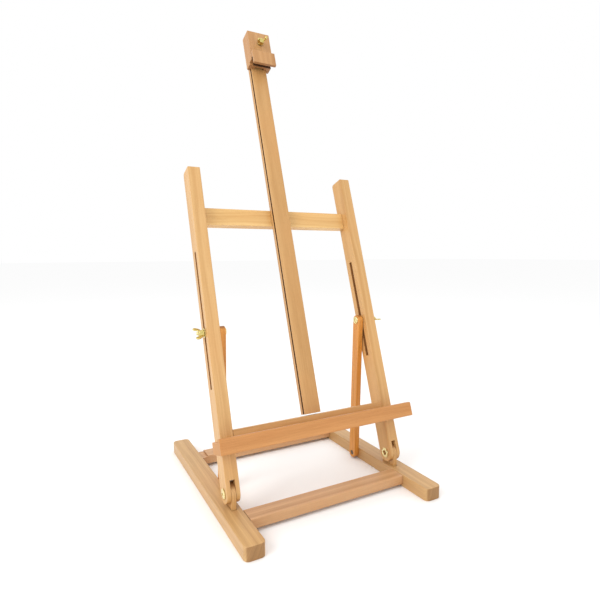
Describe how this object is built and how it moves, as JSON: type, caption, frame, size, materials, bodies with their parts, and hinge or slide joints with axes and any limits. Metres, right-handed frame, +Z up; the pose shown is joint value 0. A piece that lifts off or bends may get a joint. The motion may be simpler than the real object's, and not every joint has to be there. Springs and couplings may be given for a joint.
{
  "type": "folding tabletop easel",
  "caption": "Beech tabletop easel whose leaning frame folds flat on its base, with slotted side clamps, a tray and a canvas holder that slides on a centre mast.",
  "frame": {"origin": "on the table, midway between the two runners and midway along them", "axes": "+X to the viewer's right when facing the easel, +Y towards the back, +Z up; the easel faces -Y"},
  "size_m": [0.3546, 0.39, 0.8116],
  "materials": {
    "beech_runner": "satin varnish",
    "beech_bar": "satin varnish",
    "beech_upright": "satin varnish",
    "beech_tray": "satin varnish",
    "beech_strut": "satin varnish",
    "beech_holder": "satin varnish",
    "beech_dowel": "bare",
    "brass": "polished",
    "zinc_steel": "zinc plated"
  },
  "bodies": {
    "base": {"runner_left": "beech_runner", "runner_right": "beech_runner", "front_bar": "beech_bar", "rear_bar": "beech_bar", "hinge_tongue_left": "beech_runner", "hinge_tongue_right": "beech_runner", "pivot_screw_left": "zinc_steel", "pivot_screw_right": "zinc_steel", "front_dowel_left_fore": "beech_dowel", "front_dowel_left_aft": "beech_dowel", "front_dowel_right_fore": "beech_dowel", "front_dowel_right_aft": "beech_dowel", "rear_dowel_left_fore": "beech_dowel", "rear_dowel_left_aft": "beech_dowel", "rear_dowel_right_fore": "beech_dowel", "rear_dowel_right_aft": "beech_dowel"},
    "frame": {"upright_left": "beech_upright", "upright_right": "beech_upright", "hinge_bolt_left": "brass", "hinge_bolt_right": "brass", "hinge_nut_left": "brass", "hinge_nut_right": "brass", "crossbar": "beech_upright", "lower_rail": "beech_upright", "tray": "beech_tray", "tray_screw_left": "zinc_steel", "tray_screw_right": "zinc_steel", "mast": "beech_upright", "mast_screw_lower": "zinc_steel", "mast_screw_upper": "zinc_steel"},
    "strut_left": {"strut_left": "beech_strut", "clamp_bolt_left": "brass"},
    "strut_right": {"strut_right": "beech_strut", "clamp_bolt_right": "brass"},
    "clamp_left": {"clamp_spacer_left": "brass", "clamp_washer_left": "brass", "clamp_stud_left": "brass"},
    "clamp_right": {"clamp_spacer_right": "brass", "clamp_washer_right": "brass", "clamp_stud_right": "brass"},
    "wing_nut_left": {"wing_nut_left": "brass"},
    "wing_nut_right": {"wing_nut_right": "brass"},
    "holder": {"holder_block": "beech_holder", "holder_lip": "beech_holder", "lip_dowel_left": "beech_dowel", "lip_dowel_right": "beech_dowel", "holder_plate": "brass", "holder_insert": "brass"},
    "holder_screw": {"holder_screw": "brass"}
  },
  "joints": [
    {"name": "frame_fold", "type": "hinge", "parent": "base", "child": "frame", "pos_m": [0, -0.089, 0.0415], "axis": [-1, 0, 0], "range_deg": [-14, 69]},
    {"name": "strut_left_swing", "type": "hinge", "parent": "base", "child": "strut_left", "pos_m": [-0.1332, -0.002, 0.011], "axis": [-1, 0, 0], "range_deg": [-17.2, 82.8]},
    {"name": "clamp_left_slide", "type": "slide", "parent": "frame", "child": "clamp_left", "axis": [0, 0.319, 0.9478], "range_m": [-0.0215, 0.1023]},
    {"name": "strut_right_swing", "type": "hinge", "parent": "base", "child": "strut_right", "pos_m": [0.1332, -0.002, 0.011], "axis": [-1, 0, 0], "range_deg": [-17.2, 82.8]},
    {"name": "clamp_right_slide", "type": "slide", "parent": "frame", "child": "clamp_right", "axis": [0, 0.319, 0.9478], "range_m": [-0.0215, 0.1023]},
    {"name": "wing_nut_left_spin", "type": "hinge", "parent": "clamp_left", "child": "wing_nut_left", "pos_m": [-0.165, -0.012, 0.27031], "axis": [-1, 0, 0], "continuous": true},
    {"name": "wing_nut_right_spin", "type": "hinge", "parent": "clamp_right", "child": "wing_nut_right", "pos_m": [0.165, -0.012, 0.27031], "axis": [1, 0, 0], "continuous": true},
    {"name": "holder_slide", "type": "slide", "parent": "frame", "child": "holder", "axis": [0, 0.319, 0.9478], "range_m": [-0.64, 0.02]},
    {"name": "holder_screw_spin", "type": "hinge", "parent": "holder", "child": "holder_screw", "pos_m": [0, 0.123, 0.78902], "axis": [0, -0.9478, 0.319], "continuous": true}
  ],
  "couplings": [
    {"joint": "strut_left_swing", "follows": "frame_fold", "ratio": 1.1927},
    {"joint": "clamp_left_slide", "follows": "frame_fold", "m_per_rad": 0.08408},
    {"joint": "strut_right_swing", "follows": "frame_fold", "ratio": 1.1927},
    {"joint": "clamp_right_slide", "follows": "frame_fold", "m_per_rad": 0.08408}
  ]
}
